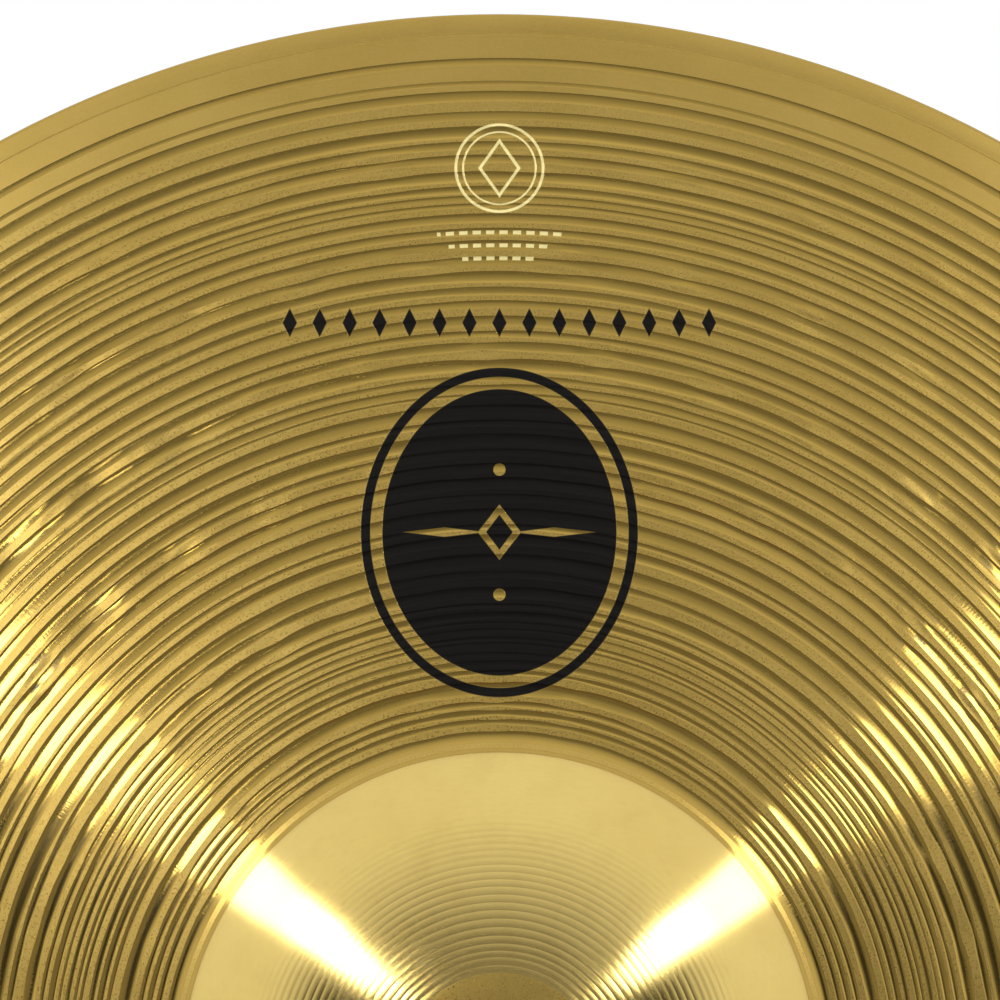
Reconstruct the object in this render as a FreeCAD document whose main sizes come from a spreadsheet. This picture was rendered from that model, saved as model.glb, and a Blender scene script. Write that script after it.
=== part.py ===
import FreeCAD, Part
import Sketcher
import os
import math

# A pair of 14 inch hand cymbals, held mouth to mouth in playing position.
#
# Frame: +Z up.  Both plates stand on edge and share the Y axis.  The origin
# is on that axis, half way between the two mouths.  Cymbal A is at -Y with
# its bell towards -Y, cymbal B is at +Y with its bell towards +Y.
#
# Every piece is drawn in the frame of its own cymbal: the rim plane is z = 0,
# +z points out of the bell, and the centre hole is on the z axis.  One
# placement per cymbal then stands the pieces up.

doc = FreeCAD.newDocument("HandCymbals")

# --------------------------------------------------------------------------
# Driving dimensions, in millimetres and degrees
# --------------------------------------------------------------------------
DIMENSIONS = [
    ("plate_radius", 177.8, "14 inch plate"),
    ("plate_gauge", 1.1, "sheet thickness, bell and bow"),
    ("plate_height", 38.4, "rim plane to top of the bell"),
    ("rim_land", 1.0, "flat ring that the mouth rests on"),
    ("hole_radius", 6.5, "strap hole"),
    ("crown_radius", 17.0, "flat top of the bell"),
    ("bell_curve", 50.3, "radius of the bell's side in section"),
    ("root_curve", 6.0, "radius where bell meets bow"),
    ("bow_curve", 770.0, "radius of the bow in section"),
    ("bow_shift", 10.1, "how far the bow's centre is past the axis"),
    ("mouth_gap", 60.0, "distance between the two rims at rest"),
    ("washer_radius", 20.0, "leather washer inside the bell"),
    ("washer_bore", 6.45, "radius of its hole"),
    ("washer_gauge", 2.5, "its thickness"),
    ("washer_air", 0.25, "gap between bell and washer"),
    ("washer_round", 0.7, "rounded edge of the washer"),
    ("thong_gauge", 2.2, "thickness of a thong"),
    ("thong_width", 5.0, "width of a thong in the hole"),
    ("tie_width", 6.5, "width of a thong in the knot"),
    ("thong_inner", 1.4, "axis to the near face of a thong in the hole"),
    ("thong_side", 2.55, "sideways place of a thong in the hole"),
    ("tie_side", 4.5, "sideways place of a thong in the knot"),
    ("tie_air", 0.1, "gap between washer and knot"),
    ("tie_pitch", 2.4, "height of one layer of the knot"),
    ("tie_reach", 14.0, "axis to the inside of a thong's fold"),
    ("tie_ramp", 1.25, "half length of the step from layer to layer"),
    ("fold_bevel", 0.7, "bevelled corner of the fold"),
    ("tail_flat", 7.0, "level top of the tail past the step"),
    ("tail_one", 19.0, "first bend of a tail"),
    ("tail_two", 29.0, "second bend of a tail"),
    ("tail_end", 34.0, "end of a tail"),
    ("tail_drop_one", 1.2, "depth of the first bend under the knot"),
    ("tail_drop_two", 8.0, "depth of the second bend under the knot"),
    ("tail_drop_end", 17.0, "depth of the end under the knot"),
    ("throat_width", 11.0, "strap where it enters the hole"),
    ("throat_gauge", 5.5, "two layers of leather"),
    ("throat_sink", 3.0, "how far the throat enters the hole"),
    ("bend_rise", 5.0, "bell top to the line that the strap bends about"),
    ("nose_radius", 3.5, "rounded end of the throat"),
    ("nose_air", 0.4, "gap between throat and band"),
    ("band_gauge", 3.0, "thickness of the strap"),
    ("band_width", 25.0, "width of the strap across the hand"),
    ("band_neck", 11.0, "width of the strap at the throat"),
    ("neck_length", 8.0, "bend line to the start of the taper"),
    ("band_taper", 40.0, "bend line to the end of the taper"),
    ("loop_radius", 30.0, "radius of the hand loop, mid leather"),
    ("loop_reach", 72.0, "bend line to the centre of that radius"),
    ("loop_apex", 15.0, "bend line to where the two layers part"),
    ("loop_droop", 60.0, "how far the loop hangs from straight out"),
    ("lathe_depth", 0.16, "depth of a coarse lathe groove"),
    ("under_depth", 0.1, "depth of a lathe groove in the mouth side"),
]

# Lathe grooves: radius and width.  The bell is turned in nearly even steps,
# the bow by hand in uneven ones, and the rim band is left smooth.
BELL_GROOVES = [(18.2 + 1.28 * i + 0.0006 * i * i, 0.62) for i in range(26)]
BOW_GROOVES = [
    (59.4, 0.9), (61.0, 1.0), (64.0, 1.2), (66.2, 1.1), (68.6, 0.9), (71.0, 1.0),
    (73.4, 0.9), (76.4, 1.3), (79.9, 1.1), (83.1, 1.0), (84.9, 1.0), (89.0, 1.6),
    (92.9, 1.3), (96.1, 1.1), (97.9, 1.0), (101.1, 1.4), (104.4, 1.7), (108.6, 1.0),
    (110.3, 1.0), (114.2, 1.5), (117.5, 1.2), (121.4, 1.4), (124.3, 1.3), (128.4, 1.2),
    (130.6, 1.0), (132.9, 1.1), (135.9, 1.3), (138.4, 1.1), (140.8, 1.2), (143.1, 1.0),
    (145.0, 1.1), (147.2, 1.2), (150.1, 1.4), (153.3, 1.2), (157.3, 1.4), (160.5, 1.1),
    (164.1, 1.3), (169.8, 0.7), (174.8, 0.6),
]
# mouth side: even steps with a small wobble
UNDER_GROOVES = [(62.0 + 4.6 * i + 0.9 * math.sin(2.3 * i), 1.1) for i in range(24)]
GROOVE_LIP = 0.024      # face to the top of the V's sloping sides
GROOVE_CLEAR = 0.12     # face to the top of the cut, out in the air
GROOVE_SKEW = 0.12      # V's point past the middle, as a part of the width

# Corners of a thong's tail: bend, inset of the under corner, its lift, and
# lift of the upper corner.
TAIL_CORNERS = [
    ("one", 0.6, 0.0, 0.4),
    ("two", 1.6, 0.2, 0.6),
    ("end", 2.1, 0.0, 0.6),
]

# How far the cuts of the band run past the leather
CUT_BELOW = 1.0
CUT_BESIDE = 3.0
CUT_THROUGH = 4.0       # both sides together

sheet = doc.addObject("Spreadsheet::Sheet", "dims")
for row, (name, number, note) in enumerate(DIMENSIONS, start=1):
    sheet.set("A%d" % row, name)
    sheet.set("B%d" % row, "%g" % number)
    sheet.set("C%d" % row, note)
    sheet.setAlias("B%d" % row, name)
doc.recompute()


class Dim:
    """A number worked out from the sheet, together with the expression for it."""

    def __init__(self, value, text):
        self.value = float(value)
        self.text = text

    @staticmethod
    def of(other):
        return other if isinstance(other, Dim) else Dim(other, "%.9g" % other)

    def __add__(self, other):
        other = Dim.of(other)
        return Dim(self.value + other.value, "(%s + %s)" % (self.text, other.text))

    def __sub__(self, other):
        other = Dim.of(other)
        return Dim(self.value - other.value, "(%s - %s)" % (self.text, other.text))

    def __mul__(self, other):
        other = Dim.of(other)
        return Dim(self.value * other.value, "(%s * %s)" % (self.text, other.text))

    def __truediv__(self, other):
        other = Dim.of(other)
        return Dim(self.value / other.value, "(%s / %s)" % (self.text, other.text))

    def __neg__(self):
        return Dim(-self.value, "(0 - %s)" % self.text)

    def __rsub__(self, other):
        return Dim.of(other) - self

    def root(self):
        return Dim(math.sqrt(self.value), "sqrt(%s)" % self.text)


def dim(name):
    return Dim(sheet.get(name), "dims." + name)


# --------------------------------------------------------------------------
# Bodies and sketches
# --------------------------------------------------------------------------
def new_body(label):
    body = doc.addObject("PartDesign::Body", label)
    body.Label = label
    return body


def origin_feature(body, role):
    for feature in body.Origin.OriginFeatures:
        if feature.Role == role:
            return feature
    raise RuntimeError("no origin feature " + role)


def new_sketch(body, name, plane, offset=None):
    sketch = body.newObject("Sketcher::SketchObject", name)
    sketch.AttachmentSupport = [(origin_feature(body, plane), "")]
    sketch.MapMode = "FlatFace"
    if offset is not None:
        sketch.setExpression("AttachmentOffset.Base.z", offset.text)
    return sketch


def bind(sketch, kind, args, value):
    """Add a dimension and bind it to the sheet."""
    value = Dim.of(value)
    index = sketch.addConstraint(Sketcher.Constraint(kind, *args, value.value))
    sketch.setExpression("Constraints[%d]" % index, value.text)


def pin(sketch, edge, end, x, y):
    """Place one end of an edge (3 is its centre) at (x, y) of the sketch."""
    bind(sketch, "DistanceX", (-1, 1, edge, end), x)
    bind(sketch, "DistanceY", (-1, 1, edge, end), y)


def add_line(sketch, start, end):
    ends = [FreeCAD.Vector(Dim.of(x).value, Dim.of(y).value, 0) for x, y in (start, end)]
    return sketch.addGeometry(Part.LineSegment(*ends), False)


def add_arc(sketch, centre, radius, start, end):
    """An arc counter-clockwise between two angles in radians; start is end 1."""
    full = Part.Circle(centre, FreeCAD.Vector(0, 0, 1), radius)
    return sketch.addGeometry(Part.ArcOfCircle(full, start, end), False)


def join_ring(sketch, edges):
    """Join each edge's end to the start of the next, all the way round."""
    for edge, following in zip(edges, edges[1:] + edges[:1]):
        sketch.addConstraint(Sketcher.Constraint("Coincident", edge, 2, following, 1))


def polygon(sketch, points):
    """A closed outline with every corner bound to the sheet."""
    edges = [add_line(sketch, start, end)
             for start, end in zip(points, points[1:] + points[:1])]
    join_ring(sketch, edges)
    for edge, (x, y) in zip(edges, points):
        pin(sketch, edge, 1, x, y)


def circle(sketch, x, y, radius):
    centre = FreeCAD.Vector(Dim.of(x).value, Dim.of(y).value, 0)
    edge = sketch.addGeometry(
        Part.Circle(centre, FreeCAD.Vector(0, 0, 1), radius.value), False)
    bind(sketch, "Radius", (edge,), radius)
    pin(sketch, edge, 3, x, y)


def extrude(body, kind, sketch, name, length):
    """A Pad or a Pocket, half to each side of its sketch."""
    feature = body.newObject("PartDesign::" + kind, name)
    feature.Profile = sketch
    feature.SideType = "Symmetric"
    feature.setExpression("Length", length.text)
    sketch.Visibility = False
    doc.recompute()
    return feature


def turn_round(body, kind, sketch, name):
    """A Revolution or a Groove, a full turn about the cymbal's axis."""
    feature = body.newObject("PartDesign::" + kind, name)
    feature.Profile = sketch
    feature.ReferenceAxis = (sketch, ["V_Axis"])
    feature.Angle = 360
    sketch.Visibility = False
    doc.recompute()


def check_change(body, before, least, fault):
    """Stop if the last feature changed the volume by no more than least."""
    if not abs(body.Shape.Volume - before) > least:
        raise RuntimeError("%s: %s" % (body.Label, fault))


# --------------------------------------------------------------------------
# Section of the plate
# --------------------------------------------------------------------------
def section_centres():
    """Centres of the bow's, the bell's and the root's arcs."""
    # the mouth side of the bow meets z = 0 at the inner edge of the land
    mouth_curve = sheet.bow_curve - sheet.plate_gauge
    land = sheet.plate_radius - sheet.rim_land
    bow = FreeCAD.Vector(
        -sheet.bow_shift, -math.sqrt(mouth_curve ** 2 - (land + sheet.bow_shift) ** 2), 0)
    bell = FreeCAD.Vector(sheet.crown_radius, sheet.plate_height - sheet.bell_curve, 0)
    # the root arc touches both, from outside
    from_bow = sheet.bow_curve + sheet.root_curve
    from_bell = sheet.bell_curve + sheet.root_curve
    way = bell - bow
    span = math.hypot(way.x, way.y)
    along = (from_bow ** 2 - from_bell ** 2 + span ** 2) / (2 * span)
    aside = math.sqrt(from_bow ** 2 - along ** 2)
    root = FreeCAD.Vector(
        bow.x + (along * way.x + aside * way.y) / span,
        bow.y + (along * way.y - aside * way.x) / span, 0)
    return bow, bell, root


# x is the radius from the axis, y is the height over the rim plane
BOW, BELL, ROOT = section_centres()
# angles at which the bell ends and the bow starts
BELL_END = math.atan2(ROOT.y - BELL.y, ROOT.x - BELL.x)
BOW_START = math.atan2(ROOT.y - BOW.y, ROOT.x - BOW.x)


def face_height(radius, inset):
    """Height at a radius of the face that lies inset under the outer face."""
    bell_curve = sheet.bell_curve - inset
    root_curve = sheet.root_curve + inset
    bow_curve = sheet.bow_curve - inset
    if radius <= BELL.x:
        return sheet.plate_height - inset
    if radius <= BELL.x + bell_curve * math.cos(BELL_END):
        return BELL.y + math.sqrt(bell_curve ** 2 - (radius - BELL.x) ** 2)
    if radius <= BOW.x + bow_curve * math.cos(BOW_START):
        return ROOT.y - math.sqrt(root_curve ** 2 - (radius - ROOT.x) ** 2)
    return BOW.y + math.sqrt(bow_curve ** 2 - (radius - BOW.x) ** 2)


def plate_section(body, side):
    """Closed section: outer face from hole to rim, then back along the mouth side."""
    sketch = new_sketch(body, "plate_section_" + side, "XZ_Plane")
    radius, gauge, top = dim("plate_radius"), dim("plate_gauge"), dim("plate_height")
    hole, crown = dim("hole_radius"), dim("crown_radius")
    land = radius - dim("rim_land")
    bell, root, bow = dim("bell_curve"), dim("root_curve"), dim("bow_curve")
    bell_under, root_under, bow_under = bell - gauge, root + gauge, bow - gauge
    under = top - gauge

    rim_angle = math.acos((radius.value - BOW.x) / bow.value)
    land_angle = math.acos((land.value - BOW.x) / bow_under.value)
    rim_top = BOW.y + bow.value * math.sin(rim_angle)
    upright = math.pi / 2
    root_angles = (BELL_END + math.pi, BOW_START + math.pi)

    crown_out = add_line(sketch, (hole, top), (crown, top))
    bell_out = add_arc(sketch, BELL, bell.value, BELL_END, upright)
    root_out = add_arc(sketch, ROOT, root.value, *root_angles)
    bow_out = add_arc(sketch, BOW, bow.value, rim_angle, BOW_START)
    rim_edge = add_line(sketch, (radius, rim_top), (radius, 0))
    rim_flat = add_line(sketch, (radius, 0), (land, 0))
    bow_in = add_arc(sketch, BOW, bow_under.value, land_angle, BOW_START)
    root_in = add_arc(sketch, ROOT, root_under.value, *root_angles)
    bell_in = add_arc(sketch, BELL, bell_under.value, BELL_END, upright)
    crown_in = add_line(sketch, (crown, under), (hole, under))
    bore = add_line(sketch, (hole, under), (hole, top))

    sketch.addConstraint([Sketcher.Constraint(*args) for args in (
        ("Coincident", crown_out, 2, bell_out, 2),
        ("Tangent", bell_out, 1, root_out, 1),
        ("Tangent", root_out, 2, bow_out, 2),
        ("Coincident", bow_out, 1, rim_edge, 1),
        ("Coincident", rim_edge, 2, rim_flat, 1),
        ("Coincident", rim_flat, 2, bow_in, 1),
        ("Tangent", bow_in, 2, root_in, 2),
        ("Tangent", root_in, 1, bell_in, 1),
        ("Coincident", bell_in, 2, crown_in, 1),
        ("Coincident", crown_in, 2, bore, 1),
        ("Coincident", bore, 2, crown_out, 1),
        ("Coincident", bell_in, 3, bell_out, 3),
        ("Coincident", bow_in, 3, bow_out, 3),
        ("Vertical", rim_edge),
    )])
    for edge, curve in ((bell_out, bell), (root_out, root), (bow_out, bow),
                        (bell_in, bell_under), (root_in, root_under), (bow_in, bow_under)):
        bind(sketch, "Radius", (edge,), curve)
    pin(sketch, crown_out, 1, hole, top)
    pin(sketch, crown_out, 2, crown, top)
    bind(sketch, "DistanceX", (-1, 1, crown_in, 1), crown)
    bind(sketch, "DistanceX", (-1, 1, crown_in, 2), hole)
    sketch.addConstraint(Sketcher.Constraint("Horizontal", crown_in))
    bind(sketch, "DistanceX", (-1, 1, bell_out, 3), crown)
    bind(sketch, "DistanceX", (bow_out, 3, -1, 1), dim("bow_shift"))
    pin(sketch, rim_flat, 1, radius, 0.0)
    pin(sketch, rim_flat, 2, land, 0.0)
    doc.recompute()
    return sketch


def groove_section(body, name, grooves, depth, inset, outward):
    """A row of small V cuts along one face; outward is +1 where air is above it."""
    sketch = new_sketch(body, name, "XZ_Plane")
    lines = []
    joints = []
    for radius, width in grooves:
        start, end = radius - width / 2, radius + width / 2
        start_height = face_height(start, inset)
        end_height = face_height(end, inset)
        corners = [FreeCAD.Vector(x, y, 0) for x, y in (
            (start, start_height + outward * GROOVE_LIP),
            (start, start_height + outward * GROOVE_CLEAR),
            (end, end_height + outward * GROOVE_CLEAR),
            (end, end_height + outward * GROOVE_LIP),
            (radius + width * GROOVE_SKEW, face_height(radius, inset) - outward * depth),
        )]
        first = len(lines)
        count = len(corners)
        for i in range(count):
            following = (i + 1) % count
            lines.append(Part.LineSegment(corners[i], corners[following]))
            joints.append(Sketcher.Constraint(
                "Coincident", first + i, 2, first + following, 1))
    sketch.addGeometry(lines, False)
    sketch.addConstraint(joints)
    sketch.addConstraint([Sketcher.Constraint("Block", i) for i in range(len(lines))])
    return sketch


# --------------------------------------------------------------------------
# Pieces
# --------------------------------------------------------------------------
def make_plate(side):
    """One spun brass plate: flat crown, round bell, arched bow, plain rim."""
    body = new_body("cymbal_plate_" + side)
    turn_round(body, "Revolution", plate_section(body, side), "plate_spun_" + side)
    for name, grooves, depth, inset, outward in (
            ("lathe_outer_", BELL_GROOVES + BOW_GROOVES, sheet.lathe_depth, 0.0, 1),
            ("lathe_mouth_", UNDER_GROOVES, sheet.under_depth, sheet.plate_gauge, -1)):
        before = body.Shape.Volume
        section = groove_section(
            body, name + "section_" + side, grooves, depth, inset, outward)
        turn_round(body, "Groove", section, name + side)
        check_change(body, before, 1.0, "lathe grooves cut nothing")
    return body


def make_washer(side):
    """Round leather washer between the bell and the knot."""
    body = new_body("knot_washer_" + side)
    gauge = dim("washer_gauge")
    top = dim("plate_height") - dim("plate_gauge") - dim("washer_air")
    sketch = new_sketch(body, "washer_outline_" + side, "XY_Plane", top - gauge / 2)
    circle(sketch, 0.0, 0.0, dim("washer_radius"))
    circle(sketch, 0.0, 0.0, dim("washer_bore"))
    disc = extrude(body, "Pad", sketch, "washer_disc_" + side, gauge)
    rims = ["Edge%d" % number for number, edge in enumerate(body.Shape.Edges, start=1)
            if hasattr(edge.Curve, "Radius")
            and abs(edge.Curve.Radius - sheet.washer_radius) < 1e-6]
    soft = body.newObject("PartDesign::Fillet", "washer_edge_" + side)
    soft.Base = (disc, rims)
    soft.setExpression("Radius", dim("washer_round").text)
    return body


def make_thong(side, number):
    """One of the four thongs that the strap is slit into.

    It drops through the hole, runs out over the washer, folds back, passes
    under one neighbour and over the next, and ends in a loose tail.
    """
    tag = "%s%d" % (side, number)
    body = new_body("strap_thong_" + tag)
    gauge, pitch, bevel = dim("thong_gauge"), dim("tie_pitch"), dim("fold_bevel")
    head = dim("plate_height") - dim("throat_sink")
    # the knot's three layers, from the washer down towards the mouth
    zero_high = (dim("plate_height") - dim("plate_gauge") - dim("washer_air")
                 - dim("washer_gauge") - dim("tie_air"))
    zero_low = zero_high - gauge
    one_high = zero_high - pitch
    one_low = one_high - gauge
    two_high = one_high - pitch
    two_low = two_high - gauge
    near = -dim("thong_inner")
    far = near - gauge
    reach = -dim("tie_reach")
    fold = reach - gauge

    # leg, first layer and fold
    leg = new_sketch(body, "leg_" + tag, "XZ_Plane", dim("thong_side"))
    polygon(leg, [
        (near, head), (near, zero_low), (reach, zero_low), (reach, one_low),
        (fold + bevel, one_low), (fold, one_low + bevel), (fold, zero_high - bevel),
        (fold + bevel, zero_high), (far, zero_high), (far, head)])
    extrude(body, "Pad", leg, "leg_pad_" + tag, dim("thong_width"))

    # way back through the knot, and the tail
    under, upper = [], []
    for bend, inset, under_lift, upper_lift in TAIL_CORNERS:
        out, drop = dim("tail_" + bend), dim("tail_drop_" + bend)
        # both corners of the end are measured from the thong's low face
        upper_face = two_low if bend == "end" else two_high
        under.append((out - inset, two_low - drop + under_lift))
        upper.append((out, upper_face - drop + upper_lift))
    ramp = dim("tie_ramp")
    back = new_sketch(body, "tie_" + tag, "XZ_Plane", dim("tie_side"))
    polygon(back, [
        (fold + bevel, one_low), (-ramp, one_low), (ramp, two_low),
        *under, *reversed(upper),
        (ramp + dim("tail_flat"), two_high), (ramp, two_high), (-ramp, one_high),
        (fold, one_high), (fold, one_low + bevel)])
    before = body.Shape.Volume
    extrude(body, "Pad", back, "tie_pad_" + tag, dim("tie_width"))
    check_change(body, before, 0.0, "thong has no tail")
    return body


def make_throat(side):
    """Doubled leather in the hole, with a rounded end that the loop bends over."""
    body = new_body("strap_throat_" + side)
    half = dim("throat_gauge") / 2
    low = dim("plate_height") - dim("throat_sink")
    bend = dim("plate_height") + dim("bend_rise")
    block = new_sketch(body, "throat_block_" + side, "YZ_Plane")
    polygon(block, [(-half, low), (half, low), (half, bend), (-half, bend)])
    extrude(body, "Pad", block, "throat_pad_" + side, dim("throat_width"))
    nose = new_sketch(body, "throat_nose_" + side, "YZ_Plane")
    circle(nose, 0.0, bend, dim("nose_radius"))
    extrude(body, "Pad", nose, "nose_pad_" + side, dim("throat_width"))
    return body


def drop_outline(body, name, offset, bottom):
    """Drop shape: flat bottom, two straight sides and a round end.

    It lies offset outside the strap's mid line.  The straight sides touch the
    round end, and those of the mid line point at the bend line.
    """
    sketch = new_sketch(body, name, "YZ_Plane")
    ring, reach = dim("loop_radius"), dim("loop_reach")
    sine = ring / reach
    cosine = (1.0 - sine * sine).root()
    radius = ring + offset
    touch_y = cosine * radius
    touch_z = reach - sine * radius
    bottom_y = (bottom * sine + offset) / cosine
    angle = math.asin(sine.value)

    right = add_line(sketch, (bottom_y, bottom), (touch_y, touch_z))
    turn = add_arc(sketch, FreeCAD.Vector(0, reach.value, 0), radius.value,
                   -angle, math.pi + angle)
    left = add_line(sketch, (-touch_y, touch_z), (-bottom_y, bottom))
    close = add_line(sketch, (-bottom_y, bottom), (bottom_y, bottom))
    join_ring(sketch, [right, turn, left, close])
    bind(sketch, "Radius", (turn,), radius)
    pin(sketch, right, 1, bottom_y, bottom)
    pin(sketch, left, 2, -bottom_y, bottom)
    pin(sketch, right, 2, touch_y, touch_z)
    bind(sketch, "DistanceX", (left, 1, -1, 1), touch_y)
    return sketch


def make_band(side):
    """The hand loop: a drop-shaped turn of flat strap, narrow at the throat.

    It is drawn straight out from the bend line, which is its own X axis, and
    hangs by the droop angle at rest.
    """
    body = new_body("strap_band_" + side)
    half = dim("band_gauge") / 2
    through = dim("band_width") + CUT_THROUGH

    outer = drop_outline(body, "loop_outer_" + side, half, dim("nose_radius") * 0.5)
    extrude(body, "Pad", outer, "loop_solid_" + side, dim("band_width"))
    before = body.Shape.Volume
    inner = drop_outline(body, "loop_inner_" + side, -half, dim("loop_apex"))
    extrude(body, "Pocket", inner, "loop_hollow_" + side, through)
    check_change(body, before, 1000.0, "hand loop is not open")

    # narrow neck, trimmed on both edges of the strap
    before = body.Shape.Volume
    neck, wide = dim("band_neck") / 2, dim("band_width") / 2
    beside = wide + CUT_BESIDE
    trim = new_sketch(body, "neck_trim_" + side, "XZ_Plane")
    for sign in (1.0, -1.0):
        polygon(trim, [
            (neck * sign, -CUT_BELOW), (neck * sign, dim("neck_length")),
            (wide * sign, dim("band_taper")), (beside * sign, dim("band_taper")),
            (beside * sign, -CUT_BELOW)])
    extrude(body, "Pocket", trim, "neck_taper_" + side, dim("loop_radius") * 4.0)
    check_change(body, before, 10.0, "neck is not tapered")

    # hollow seat that turns about the rounded end of the throat
    before = body.Shape.Volume
    seat = new_sketch(body, "neck_seat_" + side, "YZ_Plane")
    circle(seat, 0.0, 0.0, dim("nose_radius") + dim("nose_air"))
    extrude(body, "Pocket", seat, "seat_cut_" + side, through)
    check_change(body, before, 1.0, "seat is not cut")
    return body


# --------------------------------------------------------------------------
# Build both cymbals
# --------------------------------------------------------------------------
def placement(x, y, z, axis=(0, 0, 1), degrees=0.0):
    turn = FreeCAD.Rotation(FreeCAD.Vector(*axis), degrees)
    return FreeCAD.Placement(FreeCAD.Vector(x, y, z), turn)


def stand(side):
    """Cymbal A has its bell towards -Y; B is A turned half a turn about Z."""
    upright = placement(0, -sheet.mouth_gap / 2.0, 0, (1, 0, 0), 90)
    if side == "b":
        return placement(0, 0, 0, (0, 0, 1), 180).multiply(upright)
    return upright


def make_cymbal(side):
    upright = stand(side)
    plate, washer, throat = make_plate(side), make_washer(side), make_throat(side)
    for body in (plate, washer, throat):
        body.Placement = upright
    # the loop hangs: it turns about its bend line, X, towards the floor
    band = make_band(side)
    hang = placement(0, 0, sheet.plate_height + sheet.bend_rise, (1, 0, 0), sheet.loop_droop)
    band.Placement = upright.multiply(hang)
    # four thongs, a quarter turn apart
    thongs = []
    for number in range(1, 5):
        thong = make_thong(side, number)
        quarter = placement(0, 0, 0, (0, 0, 1), 90.0 * (number - 1))
        thong.Placement = upright.multiply(quarter)
        thongs.append(thong)
    return [plate, washer, throat, band] + thongs


pieces = make_cymbal("a") + make_cymbal("b")
doc.recompute()

# --------------------------------------------------------------------------
# Check everything, then write one file per piece
# --------------------------------------------------------------------------
for obj in doc.Objects:
    if "Invalid" in obj.State or "Error" in obj.State:
        raise RuntimeError("%s did not recompute: %s" % (obj.Name, obj.State))
for body in pieces:
    shape = body.Shape
    if shape.isNull() or not shape.isValid() or len(shape.Solids) != 1:
        raise RuntimeError("%s is not one valid solid" % body.Label)

os.makedirs("parts", exist_ok=True)
for body in pieces:
    body.Shape.exportStep(os.path.join("parts", body.Label + ".step"))
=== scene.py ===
"""A pair of hand cymbals with leather straps, thongs and washers, in a white studio.

The cymbals' common axis runs along Y, with Z up. The bell of cymbal a points to -Y, towards
the camera; cymbal b is cymbal a given a half turn about Z. Each cymbal is modelled in its own
frame in millimetres: x, y (up) and z out of the bell from the rim plane.
"""
import math
from collections import namedtuple

import bpy
import numpy as np
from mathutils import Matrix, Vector


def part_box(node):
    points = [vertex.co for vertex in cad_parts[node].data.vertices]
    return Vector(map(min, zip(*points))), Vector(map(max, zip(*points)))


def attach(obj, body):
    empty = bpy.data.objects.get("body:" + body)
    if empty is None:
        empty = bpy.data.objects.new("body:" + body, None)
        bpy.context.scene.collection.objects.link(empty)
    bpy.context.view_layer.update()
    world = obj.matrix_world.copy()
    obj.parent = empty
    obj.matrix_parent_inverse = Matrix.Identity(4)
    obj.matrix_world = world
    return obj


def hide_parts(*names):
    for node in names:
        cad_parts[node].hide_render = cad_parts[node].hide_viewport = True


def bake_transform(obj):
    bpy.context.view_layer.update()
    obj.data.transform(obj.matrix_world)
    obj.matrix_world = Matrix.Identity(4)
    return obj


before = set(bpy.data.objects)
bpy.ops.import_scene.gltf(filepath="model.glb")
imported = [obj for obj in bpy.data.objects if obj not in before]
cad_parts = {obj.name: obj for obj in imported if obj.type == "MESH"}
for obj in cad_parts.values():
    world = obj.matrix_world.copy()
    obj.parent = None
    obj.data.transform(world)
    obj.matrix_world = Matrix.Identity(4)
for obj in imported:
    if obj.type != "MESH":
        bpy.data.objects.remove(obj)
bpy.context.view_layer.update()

MM = 0.001
PHASE_SPAN = 6.28           # range of the random phases, radians

# ---------------------------------------------------------------------------
# Plate sizes, mm
# ---------------------------------------------------------------------------
plate_lo, plate_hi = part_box("cymbal_plate_a")
RIM_Y = plate_hi.y          # rim plane of cymbal a in the row frame, metres
RADIUS = plate_hi.z * 1000.0
HEIGHT = (plate_hi.y - plate_lo.y) * 1000.0
GAUGE = 1.1
HOLE_R = 6.5
HOLE_EDGE_R = HOLE_R + 0.3
# The profile's three arcs: radius, and centre as distance from the axis and height
BELL_R, BELL_X, BELL_Z = 50.3, 17.0, HEIGHT - 50.3
ROOT_R, ROOT_X, ROOT_Z = 6.0, 57.4968, 27.2114
BOW_R, BOW_X, BOW_Z = 770.0, -10.1, -745.839
BELL_END = 53.1834          # where the bell meets the root arc
BOW_START = 56.9740         # where the root arc meets the bow

SEGMENTS = 324
THETA = np.linspace(0, 2 * np.pi, SEGMENTS, endpoint=False)
FULL_RING = np.ones(SEGMENTS)

# Raised lands between the lathe cuts: inner and outer radius
LANDS = [
    (53.8, 54.8), (56.6, 57.8), (58.6, 59.2), (60.2, 60.7), (61.5, 62.8), (64.8, 66.2),
    (66.9, 67.4), (68.5, 69.1), (69.8, 71.0), (71.5, 71.8), (72.4, 73.2), (73.8, 74.6),
    (75.0, 75.5), (76.7, 77.3), (78.0, 79.0), (80.7, 82.6), (83.5, 84.1), (86.2, 88.0),
    (89.6, 90.5), (91.3, 91.9), (93.9, 95.4), (96.4, 97.4), (99.1, 100.3), (101.5, 103.0),
    (104.0, 104.5), (106.5, 108.0), (108.9, 109.5), (111.4, 112.9), (113.3, 113.6),
    (114.8, 115.5), (116.3, 117.2), (119.0, 120.7), (122.0, 122.9), (123.9, 124.7),
    (126.4, 127.8), (129.0, 130.1), (131.3, 132.2), (133.9, 135.1), (136.3, 137.7),
    (139.2, 140.1), (141.3, 142.3), (143.7, 144.9), (145.5, 146.0), (146.9, 147.3),
    (148.4, 149.2), (150.8, 152.5), (153.7, 154.9), (156.0, 156.7), (158.6, 159.8),
    (161.2, 162.9), (164.7, 165.7), (166.4, 169.1), (170.3, 174.3),
]
CALM_FROM = 160.0           # lands beyond this radius are hardly hammered
RIM_BAND_FROM = 163.0       # lands beyond this radius belong to the rim band
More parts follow.
